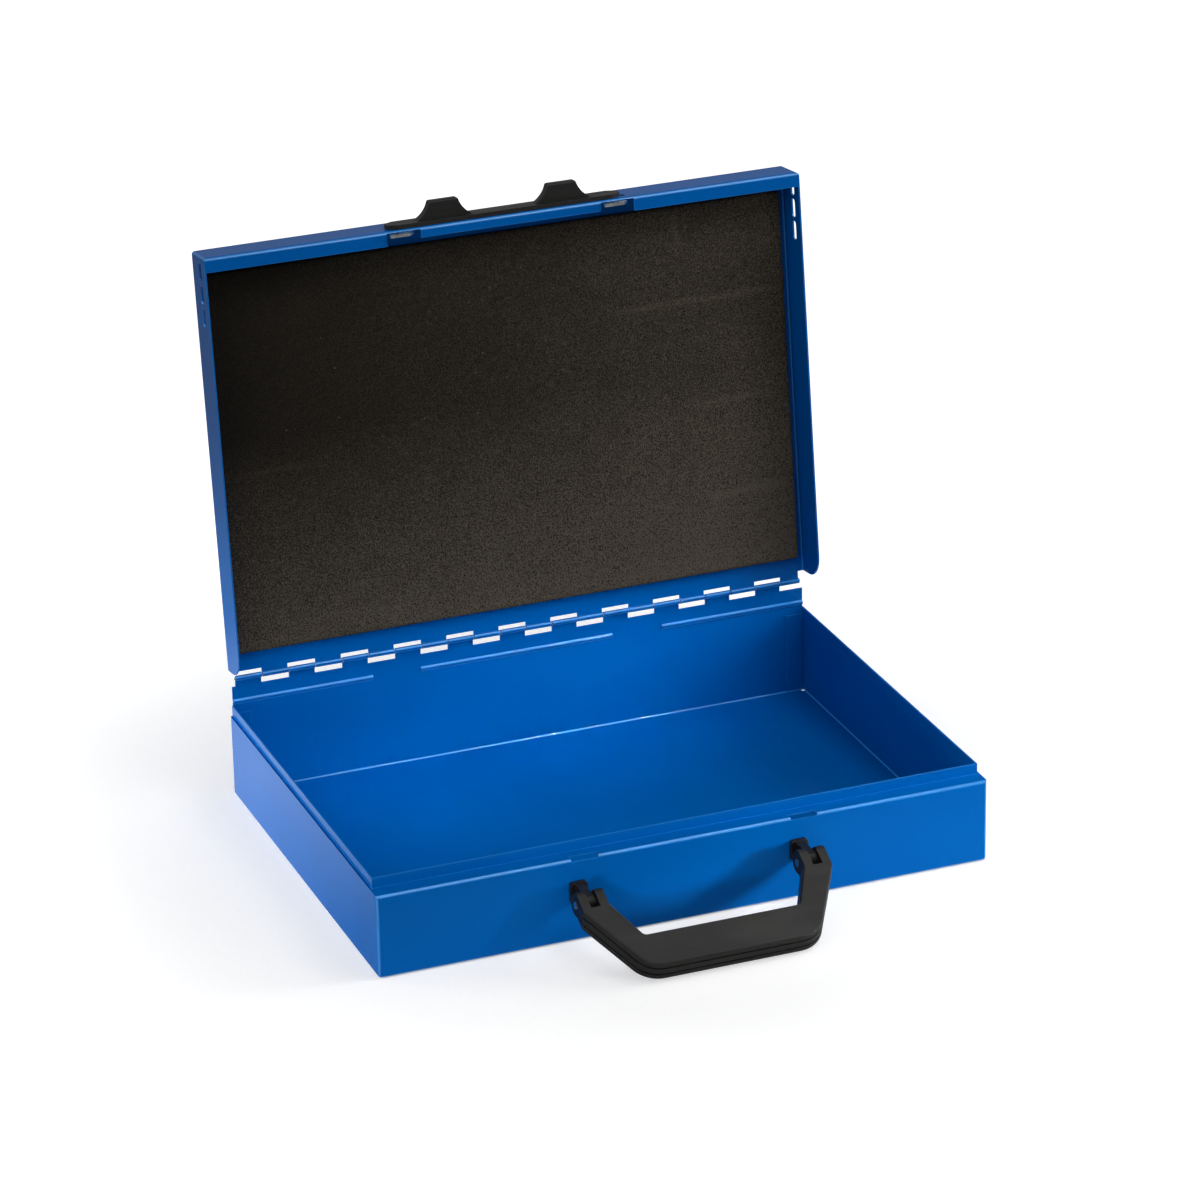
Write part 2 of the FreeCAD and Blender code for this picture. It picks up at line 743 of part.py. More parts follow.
# Steel hooks inside the wall, their feet turned left under the ledge.
foot_top = D["ledge_height"] - sheet - D["hook_clearance"] - hinge_z
foot_low = foot_top - D["hook_foot"]
hook_top = (bar_middle + lid_ceiling) / 2
hooks = []
for (name, side), x in zip(SIDES, hook_middle):
    hook = body("hook_" + name)
    sk = sketch(hook, "hook_outline", "XZ_Plane", hook_near)
    heel = x + hook_half
    outline(sk, [
        (x - hook_half, foot_low),
        (heel - D["hook_chamfer"], foot_low),
        (heel, foot_low + D["hook_chamfer"]),
        (heel, hook_top),
        (heel - D["hook_shank"], hook_top),
        (heel - D["hook_shank"], foot_top),
        (x - hook_half, foot_top),
    ])
    blade = pad(hook, sk, D["hook_thickness"], "blade")
    blade.Reversed = True
    doc.recompute()
    sk = sketch(hook, "hook_bore_outline", "XZ_Plane", hook_near)
    circle(sk, heel - D["boss_from_heel"], bar_middle, D["latch_rivet_diameter"] / 2)
    pocket(hook, sk, D["hook_thickness"] + overcut, "hook_bore")
    hooks.append(hook)

# Rivets through the hooks, driven blind into the bar's bosses.
latch_rivets = []
for (name, side), x in zip(SIDES, boss_x):
    rivet = body("latch_rivet_" + name)
    sk = sketch(rivet, "latch_rivet_outline", "XY_Plane")
    stem = D["latch_rivet_diameter"] / 2
    head = D["latch_rivet_head"] / 2
    tip = -hook_near - D["latch_rivet_grip"]
    crown = D["hook_thickness"] - hook_near
    outline(sk, [
        (ZERO, tip),
        (stem, tip),
        (stem, crown),
        (head, crown),
        (head, crown + D["latch_rivet_head_height"]),
        (ZERO, crown + D["latch_rivet_head_height"]),
    ])
    revolve(rivet, sk, FULL_TURN, "turned", "V_Axis")
    latch_rivets.append((rivet, x))

for piece in [lid, foam, bar] + hooks:
    place(piece, ZERO, hinge_y, hinge_z, D["lid_open"], -1)
swing = math.radians(D["lid_open"].value)
for rivet, x in latch_rivets:
    rise = Dim(math.sin(swing), "sin(dims.lid_open * 1deg)") * bar_middle
    lift = Dim(math.cos(swing), "cos(dims.lid_open * 1deg)") * bar_middle
    place(rivet, x, hinge_y + rise, hinge_z + lift, D["lid_open"], -1)

# Brackets on the front wall, each with a tongue bored for the handle's pin.
plate_face = D["pivot_reach"] - D["bracket_plate"]
tongue_thickness = D["fork_slot"] - D["tongue_clearance"] * 2
for name, side in SIDES:
    bracket = body("bracket_" + name)
    sk = sketch(bracket, "plate_outline", "XZ_Plane", -D["pivot_reach"])
    wide = D["bracket_width"] / 2
    tall = D["bracket_height"] / 2
    rectangle(sk, -wide, -tall, wide, tall)
    pad(bracket, sk, D["bracket_plate"], "plate")
    chamfer(bracket, D["bracket_corner"], "plate_corners", lambda mid, way: runs(way, "y"))
    sk = sketch(bracket, "tongue_outline", "YZ_Plane")
    radius = D["tongue_radius"]
    rectangle(sk, ZERO, -radius, plate_face + D["bracket_plate"] / 2, radius)
    pad(bracket, sk, tongue_thickness, "tongue", both=True)
    sk = sketch(bracket, "eye_outline", "YZ_Plane")
    circle(sk, ZERO, ZERO, radius)
    pad(bracket, sk, tongue_thickness, "eye", both=True)
    sk = sketch(bracket, "bore_outline", "YZ_Plane")
    circle(sk, ZERO, ZERO, D["pin_diameter"] / 2)
    pocket(bracket, sk, tongue_thickness + overcut, "bore", both=True)
    sk = sketch(bracket, "thread_outline", "XZ_Plane", -D["pivot_reach"])
    circle(sk, ZERO, ZERO, D["screw_diameter"] / 2)
    pocket(bracket, sk, D["screw_depth"], "thread", front=True)
    place(bracket, pivot_x * side, pivot_y, pivot_z)

# Plates behind the front wall, and a screw from inside into each bracket's tongue.
for name, side in SIDES:
    backing = body("backing_" + name)
    sk = sketch(backing, "backing_outline", "XZ_Plane")
    wide = D["backing_width"] / 2
    tall = D["backing_height"] / 2
    rectangle(sk, -wide, -tall, wide, tall)
    circle(sk, ZERO, ZERO, D["screw_diameter"] / 2)
    pad(backing, sk, D["backing_thickness"], "backing")
    chamfer(backing, D["bracket_corner"], "backing_corners",
            lambda mid, way: runs(way, "y") and near(abs(mid.x), wide))
    seat = sheet + D["backing_thickness"] - half_depth
    place(backing, pivot_x * side, seat, pivot_z)
    screw = body("screw_" + name)
    sk = sketch(screw, "stem_outline", "XZ_Plane")
    circle(sk, ZERO, ZERO, D["screw_diameter"] / 2)
    pad(screw, sk, D["screw_depth"] + sheet + D["backing_thickness"], "stem")
    sk = sketch(screw, "head_outline", "XZ_Plane")
    flat = D["screw_head"] / 2
    point = D["screw_head"] / Dim(3.0, "3.0").root()
    outline(sk, [
        (point, ZERO),
        (point / 2, flat),
        (point / -2, flat),
        (-point, ZERO),
        (point / -2, -flat),
        (point / 2, -flat),
    ])
    head = pad(screw, sk, D["screw_head_height"], "hexagon_head")
    head.Reversed = True
    doc.recompute()
    place(screw, pivot_x * side, seat, pivot_z)

# Pins pressed into the tongues; the handle's forked ends turn on them.
pin_half = D["lug_width"] / 2 + D["pin_proud"]
for name, side in SIDES:
    pin = body("pin_" + name)
    sk = sketch(pin, "pin_outline", "YZ_Plane", -pin_half)
    circle(sk, ZERO, ZERO, D["pin_diameter"] / 2)
    pad(pin, sk, pin_half * 2, "pin")
    place(pin, pivot_x * side, pivot_y, pivot_z)

# The bail handle, drawn level about its pivot line and then let down.
handle = body("handle_bail")
lug_out = pivot_x + D["lug_width"] / 2
lug_in = pivot_x - D["lug_width"] / 2
slope = (lug_out - D["grip_outer_half"]) / (D["grip_outer_reach"] - D["arm_outer_start"])
stretch = (slope * slope + 1.0).root()


def outer_edge(spread):
    """Corner where the right arm's outer edge starts, and the grip's corner, moved out."""
    shift = spread * stretch
    start = D["arm_outer_start"] + shift / slope
    reach = D["grip_outer_reach"] + spread
    return (lug_out, -start), (lug_out - slope * (reach - start), -reach)


def bail_outline():
    made = sketch(handle, "bail_outline", "XY_Plane", D["handle_above"])
    start, corner = outer_edge(ZERO)
    right = [(lug_in, D["lug_end"]), (lug_out, D["lug_end"]), start, corner]
    inside = [
        (lug_in, -D["arm_inner_start"]),
        (D["grip_inner_half"], -D["grip_inner_reach"]),
    ]
    corners = right + [(-x, y) for x, y in reversed(right)]
    corners += [(-x, y) for x, y in inside] + list(reversed(inside))
    big = D["grip_outer_round"]
    small = D["grip_inner_round"]
    outline(made, corners, rounds={3: big, 4: big, 9: small, 10: small})
    return made


thickness = D["handle_above"] + D["handle_below"]
bail = pad(handle, bail_outline(), thickness, "bail")
bail.Reversed = True
doc.recompute()


def flared(face):
    """True for the faces along the outside of the arms, the corners and the grip."""
    mid = face.CenterOfMass
    if hasattr(face.Surface, "Radius"):
        return near(face.Surface.Radius, D["grip_outer_round"])
    arm = lug_out - slope * (-mid.y - D["arm_outer_start"])
    level = near(mid.z, D["handle_above"]) or near(mid.z, -D["handle_below"])
    return not level and (near(abs(mid.x), arm) or near(mid.y, -D["grip_outer_reach"]))


faces = ["Face%d" % i for i, face in enumerate(bail.Shape.Faces, start=1) if flared(face)]
tops = [i for i, face in enumerate(bail.Shape.Faces, start=1)
        if near(face.CenterOfMass.z, D["handle_above"])]
flare = handle.newObject("PartDesign::Draft", "flare")
flare.Base = (bail, faces)
flare.NeutralPlane = (bail, ["Face%d" % tops[0]])
bind(flare, "Angle", (D["bail_flare"] / thickness).arctangent())
doc.recompute()

# Two grooves around the outside of the lower arms and the grip.
away = lug_out + overcut + D["bail_flare"]
below = D["grip_outer_reach"] + overcut + D["bail_flare"]
rib = (thickness - D["rib_groove"] * 2) / 3
for i in range(2):
    drop = rib * (i + 1) + D["rib_groove"] * i
    share = (drop + D["rib_groove"] / 2) / thickness
    sk = sketch(handle, "groove_outline_%d" % i, "XY_Plane", D["handle_above"] - drop)
    spread = D["bail_flare"] * share - D["rib_depth"]
    start, corner = outer_edge(spread)
    bend = D["grip_outer_round"] + spread
    outline(sk, [
        start,
        corner,
        (-corner[0], corner[1]),
        (-start[0], start[1]),
        (-away, start[1]),
        (-away, -below),
        (away, -below),
        (away, start[1]),
    ], rounds={1: bend, 2: bend})
    pocket(handle, sk, D["rib_groove"], "groove_%d" % i)


def lug_edge(mid, way):
    return runs(way, "x") and near(mid.y, D["lug_end"]) and near(mid.z, D["handle_above"])


fillet(handle, D["lug_round"], "lug_rounds", lug_edge)
for name, left in (("left", -lug_out), ("right", lug_in)):
    sk = sketch(handle, "eye_outline_" + name, "YZ_Plane", left)
    circle(sk, ZERO, ZERO, D["eye_radius"])
    pad(handle, sk, D["lug_width"], "eye_" + name)
sk = sketch(handle, "fork_outline", "XY_Plane")
for name, side in SIDES:
    middle = pivot_x * side
    half = D["fork_slot"] / 2
    rectangle(sk, middle - half, -D["fork_depth"], middle + half, D["eye_radius"] + overcut)
pocket(handle, sk, thickness * 2, "forks", both=True)
sk = sketch(handle, "pin_bore_outline", "YZ_Plane")
circle(sk, ZERO, ZERO, D["pin_diameter"] / 2 + D["pin_clearance"])
pocket(handle, sk, (lug_out + overcut) * 2, "pin_bores", both=True)


def around(mid, gap):
    """True for a point beyond the line midway between the bail's inner and outer edges."""
    reach = (D["grip_inner_reach"] + D["grip_outer_reach"]) / 2
    middle = pivot_x - slope * (-mid.y - D["arm_outer_start"])
    return mid.y < -reach.value - gap or abs(mid.x) > middle.value + gap


def grip_edge(mid, way):
    top = near(mid.z, D["handle_above"])
    return top and mid.y < -D["arm_outer_start"].value and around(mid, 0.0)


def back_edge(mid, way):
    low = near(mid.z, -D["handle_below"])
    inner = near(mid.z, D["handle_above"]) and not around(mid, -D["handle_edge"].value)
    return (low or inner) and mid.y < -D["arm_outer_start"].value


fillet(handle, D["handle_edge"], "grip_edges", grip_edge)
chamfer(handle, D["handle_edge"], "back_edges", back_edge)
reach = D["grip_outer_reach"] + D["bail_flare"]
span = (reach * reach + D["handle_below"] * D["handle_below"]).root()
dip = ((pivot_z - D["table_gap"]) / span).arcsine()
place(handle, ZERO, pivot_y, pivot_z, dip - (D["handle_below"] / reach).arctangent(), 1)

doc.recompute()
os.makedirs("parts", exist_ok=True)
for piece in doc.Objects:
    if "Invalid" in piece.State or "Error" in piece.State:
        raise ValueError("%s is not sound" % piece.Label)
for piece in doc.findObjects("PartDesign::Body"):
    if piece.Shape.isNull() or not piece.Shape.isValid():
        raise ValueError("%s has no sound shape" % piece.Label)
    piece.Shape.exportStep("parts/%s.step" % piece.Label)
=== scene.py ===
# %% [markdown]
# # Dressing a steel carrying case
# The case arrives as a finished mechanical model: sheet-metal tray and lid, hinge wire, latch,
# brackets and handle, each already in its place in metres. Nothing of it is moved here. We give
# every piece its finish, make the soft foam pad that the mechanical model only blocks out, and
# set up the table, the lamps and the camera.

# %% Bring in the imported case
import json
import math

import bpy
import numpy as np
from mathutils import Matrix, Vector


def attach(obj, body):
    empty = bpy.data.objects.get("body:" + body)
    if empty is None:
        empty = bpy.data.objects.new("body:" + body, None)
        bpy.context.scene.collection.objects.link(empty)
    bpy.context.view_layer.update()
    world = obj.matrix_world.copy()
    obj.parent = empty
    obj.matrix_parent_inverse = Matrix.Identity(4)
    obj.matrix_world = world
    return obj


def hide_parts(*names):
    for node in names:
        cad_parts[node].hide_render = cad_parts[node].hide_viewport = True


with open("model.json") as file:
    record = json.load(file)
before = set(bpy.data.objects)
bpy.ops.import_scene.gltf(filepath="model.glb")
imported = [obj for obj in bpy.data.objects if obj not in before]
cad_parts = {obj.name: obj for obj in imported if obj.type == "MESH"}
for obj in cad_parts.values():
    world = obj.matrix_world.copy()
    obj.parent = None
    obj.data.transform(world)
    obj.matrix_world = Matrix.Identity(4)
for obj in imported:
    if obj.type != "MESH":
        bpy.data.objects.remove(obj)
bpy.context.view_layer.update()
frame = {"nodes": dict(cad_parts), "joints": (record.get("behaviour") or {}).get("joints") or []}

nodes = frame["nodes"]
hinge = next(j for j in frame["joints"] if j["name"] == "lid_hinge")
MM = 0.001
print("pieces of the case:", len(nodes))

# %% [markdown]
# ## Shader sums that read like sums
# A finish is mostly arithmetic: a little noise added to a roughness, a mask taken away from one.
# Wiring each Math node by hand hides that, so one small class wraps a socket and lets Python's
# own operators add the nodes. Every other kind of node comes from its `node` method.

# %% A socket that can be added and multiplied
OBJECT_OUT = 3     # Texture Coordinate: object coordinates
NORMAL_OUT = 1     # Texture Coordinate and Geometry: the normal
SUM_OUT = 1        # Vector Math: a single number
FACTOR_OUT = 2     # Attribute: a single number
FACING_OUT = 1     # Layer Weight: how far the surface turns away
MIX_LOW, MIX_HIGH, MIX_OUT = 6, 7, 2     # Mix: its two colours and the mixed one


class Signal:
    """One output socket of a node tree; arithmetic on it adds Math nodes."""

    def __init__(self, tree, socket=None):
        self.tree = tree
        self.socket = socket

    def node(self, kind, settings=None, sockets=None, out=0):
        """Adds a node: first its settings, then the values or links of its sockets."""
        made = self.tree.nodes.new(kind)
        for name, value in (settings or {}).items():
            setattr(made, name, value)
        for name, value in (sockets or {}).items():
            if isinstance(value, Signal):
                self.tree.links.new(value.socket, made.inputs[name])
            else:
                made.inputs[name].default_value = value
        return Signal(self.tree, made.outputs[out] if made.outputs else None)

    def other(self, name):
        """Another output of the same node."""
        return Signal(self.tree, self.socket.node.outputs[name])

    def maths(self, operation, a, b):
        """One Math node on two values."""
        return self.node("ShaderNodeMath", {"operation": operation}, {0: a, 1: b})

    def vectors(self, operation, a, b, out=0):
        """One Vector Math node on two vectors."""
        return self.node("ShaderNodeVectorMath", {"operation": operation}, {0: a, 1: b}, out)

    def __add__(self, other):
        return self.maths("ADD", self, other)

    def __sub__(self, other):
        return self.maths("SUBTRACT", self, other)

    def __mul__(self, other):
        return self.maths("MULTIPLY", self, other)

    def __rsub__(self, other):
        return self.maths("SUBTRACT", other, self)

    __radd__ = __add__
    __rmul__ = __mul__

    def size(self):
        """The value without its sign."""
        return self.maths("ABSOLUTE", self, 0.0)

    def between(self, low, high):
        """0 below low, 1 above high, and a straight line between them."""
        limits = {"From Min": low, "From Max": high}
        return self.node("ShaderNodeMapRange", {"clamp": True}, {"Value": self, **limits})

    def noise(self, scale, detail=2.0, rough=0.5):
        """Smooth noise with about `scale` lumps to the metre."""
        sockets = {"Vector": self, "Scale": scale, "Detail": detail, "Roughness": rough}
        return self.node("ShaderNodeTexNoise", None, sockets)

    def cells(self, scale, feature="F1", **sockets):
        """Distance to the nearest of about `scale` scattered points to the metre."""
        sockets = {"Vector": self, "Scale": scale, **sockets}
        return self.node("ShaderNodeTexVoronoi", {"feature": feature}, sockets)

    def stretched(self, x, y, z):
        """The same coordinates, scaled along each axis."""
        return self.node("ShaderNodeMapping", None, {"Vector": self, "Scale": (x, y, z)})

    def tint(self, low, high):
        """A colour between low and high, mixed by this value."""
        sockets = {0: self, MIX_LOW: low, MIX_HIGH: high}
        return self.node("ShaderNodeMix", {"data_type": "RGBA"}, sockets, MIX_OUT)

    def bump(self, distance, strength):
        """A surface normal from this value as a height, in metres at full strength."""
        sockets = {"Height": self, "Distance": distance, "Strength": strength}
        return self.node("ShaderNodeBump", None, sockets)


print("shader sums ready")

# %% Opening, closing and giving out a finish
def new_finish(name):
    """An empty material and a Signal with its object coordinates."""
    made = bpy.data.materials.new(name)
    made.use_nodes = True
    made.node_tree.nodes.clear()
    return made, Signal(made.node_tree).node("ShaderNodeTexCoord", out=OBJECT_OUT)


def close_finish(place, **sockets):
    """Ends a material in one Principled shader with these sockets."""
    named = {key.replace("_", " "): value for key, value in sockets.items()}
    shader = place.node("ShaderNodeBsdfPrincipled", None, named)
    place.node("ShaderNodeOutputMaterial", None, {"Surface": shader})


def dress(names, finish):
    """Gives the named pieces this finish and no other."""
    for name in names:
        nodes[name].data.materials.clear()
        nodes[name].data.materials.append(finish)
    print(finish.name, "on", ", ".join(names))


print("pieces to dress:", ", ".join(nodes))

# %% Where the sheet has an edge or a bend
BEVEL_SAMPLES = 4
BEND_FROM, BEND_TO = 0.04, 0.25


def sharp_edges(place, radius, low, high):
    """1 along sharp edges: how far a normal rounded over `radius` leans from the face's own."""
    rounded = place.node("ShaderNodeBevel", {"samples": BEVEL_SAMPLES}, {"Radius": radius})
    flat = place.node("ShaderNodeNewGeometry", out=NORMAL_OUT)
    return (1.0 - place.vectors("DOT_PRODUCT", rounded, flat, SUM_OUT)).between(low, high)


def bent_sheet(place):
    """1 where the sheet curves: where its normal leans away from all three axes of the case."""
    facing = place.node("ShaderNodeTexCoord", out=NORMAL_OUT)
    power = place.vectors("MULTIPLY", facing, facing)
    along = [place.node("ShaderNodeSeparateXYZ", None, {0: power}, axis) for axis in range(3)]
    most = place.maths("MAXIMUM", place.maths("MAXIMUM", along[0], along[1]), along[2])
    return (1.0 - most).between(BEND_FROM, BEND_TO)


print("bends count from", BEND_FROM, "to", BEND_TO)

# %% [markdown]
# ## Blue powder coat
# The sheet is sprayed with powder and baked: a saturated blue with a satin gloss. Powder melts
# into a faintly dimpled skin. The sharp edges and the bends are coloured a paler blue as a painted
# highlight, and they carry more gloss. Noise at three scales gives the uneven film, the dimples
# and the fine grain. A normal rounded over the edge finds the edges, and a normal that leans away
# from all three axes finds the bends. The gloss grows where the sheet is seen at a low angle.

# %% Blue powder coat on the tray, the lid and the corner tabs
FILM_LUMPS, DIMPLES, PAINT_GRAIN = 9.0, 520.0, 2600.0     # to the metre
PAINT_EDGE = 0.0007
DIMPLE_HEIGHT, DIMPLE_STRENGTH = 0.00006, 0.35
DEEP_BLUE, CLEAR_BLUE = (0.0, 0.106, 0.415, 1.0), (0.0, 0.123, 0.470, 1.0)
# paler blue for the painted highlight along the edges and bends
PAINTED_HIGHLIGHT_BLUE = (0.05, 0.36, 0.92, 1.0)
SKIM_FROM, SKIM_TO = 0.58, 0.72
COAT_ON_FLAT, COAT_ROUGHNESS, COAT_IOR = 0.04, 0.14, 2.0


def blue_powder_coat():
    finish, place = new_finish("blue_powder_coat")
    film = place.noise(FILM_LUMPS, 3.0)
    dimples = place.noise(DIMPLES, 2.0, 0.4)
    grain = place.noise(PAINT_GRAIN, 1.0)
    edge_band = sharp_edges(place, PAINT_EDGE, 0.03, 0.30)
    bend = bent_sheet(place)
    facing = place.node("ShaderNodeLayerWeight", None, {"Blend": 0.5}, FACING_OUT)
    skim = facing.between(SKIM_FROM, SKIM_TO)
    shade = film.between(0.30, 0.70).tint(DEEP_BLUE, CLEAR_BLUE)
    # painted highlight: edges and bends are coloured a paler blue to stand in for light lines on
    # them
    colour = (edge_band * 0.55 + bend * 0.62).tint(shade, PAINTED_HIGHLIGHT_BLUE)
    rough = 0.24 + film * 0.08 + grain * 0.06
    gloss = COAT_ON_FLAT + bend * 0.35 + edge_band * 0.2 + skim * 0.35
    normal = (dimples + grain * 0.25).bump(DIMPLE_HEIGHT, DIMPLE_STRENGTH)
    close_finish(place, Base_Color=colour, Roughness=rough, Normal=normal,
                 Specular_IOR_Level=0.0, Coat_Weight=gloss,
                 Coat_Roughness=COAT_ROUGHNESS, Coat_IOR=COAT_IOR)
    return finish


dress(("base_shell", "corner_tab_left", "corner_tab_right", "lid_shell"), blue_powder_coat())

# %% [markdown]
# ## Black moulded plastic
# The handle, the brackets and the latch bar come from moulds with a spark-eroded, pebbled skin.
# It scatters light into a dark grey. Hands polish it a little along the edges, which are less
# rough
# and painted paler grey: partly that wear, partly a painted highlight. Small cells and fine noise
# make the pebbles, long soft noise makes the rubbed streaks.

# %% Black plastic on the handle, the brackets and the latch bar
PEBBLES, PEBBLE_GRAIN = 1250.0, 3200.0     # to the metre
STREAKS = (22.0, 70.0, 70.0)               # to the metre, longest along X
PLASTIC_EDGE = 0.0006
PEBBLE_HEIGHT, PEBBLE_STRENGTH = 0.00012, 0.40
BLACK, RUBBED_BLACK = (0.0085, 0.0083, 0.0078, 1.0), (0.0170, 0.0165, 0.0155, 1.0)
# paler grey on the edges: partly wear, partly a painted highlight
WEAR_AND_SHEEN_GREY = (0.060, 0.058, 0.055, 1.0)


def black_plastic():
    finish, place = new_finish("black_moulded_plastic")
    pebble = place.cells(PEBBLES, "SMOOTH_F1", Smoothness=0.6)
    fine = place.noise(PEBBLE_GRAIN, 2.0)
    rubbed_tone_and_painted_light = place.stretched(*STREAKS).noise(1.0, 3.0, 0.55).between(0.42, 0.72)
    edge_wear_and_sheen = sharp_edges(place, PLASTIC_EDGE, 0.04, 0.35)
    # the edges are painted paler grey: partly rubbed wear, partly a painted highlight
    colour = (edge_wear_and_sheen * 0.55).tint(rubbed_tone_and_painted_light.tint(BLACK, RUBBED_BLACK), WEAR_AND_SHEEN_GREY)
    rough = 0.46 - rubbed_tone_and_painted_light * 0.10 - edge_wear_and_sheen * 0.10 + fine * 0.06
    normal = (pebble * 0.7 + fine * 0.3).bump(PEBBLE_HEIGHT, PEBBLE_STRENGTH)
    close_finish(place, Base_Color=colour, Roughness=rough, Normal=normal,
                 Specular_IOR_Level=0.30)
    return finish


dress(("handle_bail", "bracket_left", "bracket_right", "latch_bar"), black_plastic())

# %% [markdown]
# ## Plated steel
# Hooks, rivets, screws, backing plates and the hinge wire are zinc-plated steel, and the handle's
# pins are nickel-plated and brighter. The plating is not a mirror: it keeps the drawing lines of
# the wire and strip, which run along X here, and has cloudy patches. Noise squeezed across the
# lines gives the roughness, and slow noise the colour.

# %% Plated steel on the small hardware
DRAWN_LINES = (90.0, 2600.0, 2600.0)     # to the metre, longest along X
CLOUDS = 260.0
LINE_HEIGHT, LINE_STRENGTH = 0.00003, 0.35
ZINC_DULL, ZINC_BRIGHT = (0.46, 0.465, 0.47, 1.0), (0.66, 0.66, 0.65, 1.0)
NICKEL_DULL, NICKEL_BRIGHT = (0.80, 0.79, 0.77, 1.0), (0.90, 0.89, 0.87, 1.0)
ZINC_PIECES = ("hook_", "latch_rivet_", "screw_", "backing_", "hinge_wire")
NICKEL_PIECES = ("pin_",)


def plated_steel(name, dull, bright, least_rough):
    finish, place = new_finish(name)
    lines = place.stretched(*DRAWN_LINES).noise(1.0, 2.0)
    cloud = place.noise(CLOUDS, 3.0)
    colour = cloud.between(0.3, 0.7).tint(dull, bright)
    rough = least_rough + lines * 0.18 + cloud * 0.10
    normal = (lines * 0.8 + cloud * 0.2).bump(LINE_HEIGHT, LINE_STRENGTH)
    close_finish(place, Base_Color=colour, Roughness=rough, Normal=normal, Metallic=1.0)
    return finish


dress([name for name in nodes if name.startswith(ZINC_PIECES)],
      plated_steel("zinc_plated_steel", ZINC_DULL, ZINC_BRIGHT, 0.12))
dress([name for name in nodes if name.startswith(NICKEL_PIECES)],
      plated_steel("nickel_plated_steel", NICKEL_DULL, NICKEL_BRIGHT, 0.10))

# %% [markdown]
# ## The foam pad
# Inside the lid lies a die-cut sheet of dark open-cell foam, glued at its back. Its cut edges
# are soft, its face is never quite flat, and it keeps faint creases where it was folded in its
# packing. A box would look like board, so the face is a height field over a grid: full thickness
# in the middle, falling in a quarter round at the edges, with slow swells and creases pressed in.
# Cloth simulation would only add a bulge that glued sheet foam doesn't have.

# %% The pad's own measures, in millimetres from the hinge line
PAD_HALF = 160.4
PAD_FROM, PAD_TO = 13.7, 217.85
PAD_BACK, PAD_FACE = -0.65, 4.25
PAD_THICK = PAD_FACE - PAD_BACK
EDGE_ROUND, ROUND_STEPS = 1.9, 6
CORNER_ROUND = 2.2
SWELL = 0.16
CREASE_WIDTH, CREASE_DEPTH = 1.5, 0.42
CREASE_FADE = 14.0
WANDER, WANDER_LENGTH = 0.5, 7.0
LINES_ACROSS, LINES_UP = 190, 124
FACE_FROM = 0.9     # share of the height from which the pad counts as its face
LEAN = math.radians(hinge["range_deg"][1] - 90.0)
CREASES = [
    # along X or up the lid, its level, where it starts, where it ends, share of full depth
    ("x", 166.0, 58.0, 158.0, 1.0),
    ("x", 109.0, 98.0, 156.0, 0.8),
    ("x", 110.0, -160.0, -104.0, 0.9),
    ("x", 58.0, 104.0, 160.0, 0.9),
    ("up", 100.0, 190.0, 217.0, 1.0),
]
print("pad thickness, mm:", round(PAD_THICK, 2))

# %% The pad's edges, swells and creases
def edge_rows(low, high, count):
    """Grid lines from low to high: both edges twice, then quarter-round steps, then even ones."""
    turn = np.linspace(0.0, math.pi / 2, ROUND_STEPS + 1)[1:]
    near = low + EDGE_ROUND * (1.0 - np.cos(turn))
    inner = np.linspace(low + EDGE_ROUND, high - EDGE_ROUND, count)[1:-1]
    far = high - EDGE_ROUND * (1.0 - np.cos(turn))
    return np.concatenate([[low, low], near, inner, far[::-1], [high, high]])


def edge_rise(rows, low, high):
    """Height share over grid lines: 0 on the outer line, then a wall and a quarter round to 1."""
    reach = np.minimum(rows - low, high - rows)
    round_part = np.sqrt(np.clip(1.0 - (1.0 - np.clip(reach / EDGE_ROUND, 0, 1)) ** 2, 0, 1))
    rise = (PAD_THICK - EDGE_ROUND + EDGE_ROUND * round_part) / PAD_THICK
    rise[[0, -1]] = 0.0
    return rise


def swells(x, up):
    """Slow unevenness: the mean of three crossed waves, 70 to 210 mm long, between -1 and 1."""
    a = np.sin(x / 21.0 + 0.7) * np.sin(up / 17.0 + 0.2)
    b = np.sin(x / 13.5 - up / 19.0)
    c = np.cos(x / 33.0 + up / 11.0 + 1.1)
    return (a + b + c) / 3.0


def creases(x, up):
    """Sum of Gaussian grooves, each fading in and out along its own length."""
    total = np.zeros_like(x)
    for way, level, start, end, share in CREASES:
        along, across = (x, up) if way == "x" else (up, x)
        wander = WANDER * np.sin(along / WANDER_LENGTH)
        groove = np.exp(-(((across - level - wander) / CREASE_WIDTH) ** 2))
        fade_in = np.clip((along - start) / CREASE_FADE, 0, 1)
        fade_out = np.clip((end - along) / CREASE_FADE, 0, 1)
        total += share * groove * (fade_in * fade_out)
    return total


print("creases in the pad:", len(CREASES))

# %% From a grid to a piece in the lid
def round_corners(x, up):
    """Pulls the square corners in: a point beyond the corner's centre moves onto a circle."""
    middle = (PAD_FROM + PAD_TO) / 2
    dx = np.clip(np.abs(x) - (PAD_HALF - CORNER_ROUND), 0, None)
    dup = np.clip(np.abs(up - middle) - ((PAD_TO - PAD_FROM) / 2 - CORNER_ROUND), 0, None)
    long = np.hypot(dx, dup)
    pull = np.where(long > 0, 1.0 - np.maximum(dx, dup) / np.where(long > 0, long, 1.0), 0.0)
    return x - np.sign(x) * dx * pull, up - np.sign(up - middle) * dup * pull


def in_frame(x, up, deep):
    """Turns (x, up, deep) about the hinge line, leaning back with the open lid."""
    lean = np.array([[math.sin(LEAN), -math.cos(LEAN)], [math.cos(LEAN), math.sin(LEAN)]])
    y, z = np.tensordot(lean, np.stack([up, deep]), axes=1)
    flat = np.stack([x, y, z], axis=-1).reshape(-1, 3) * MM
    return flat + np.array(hinge["pos_m"])


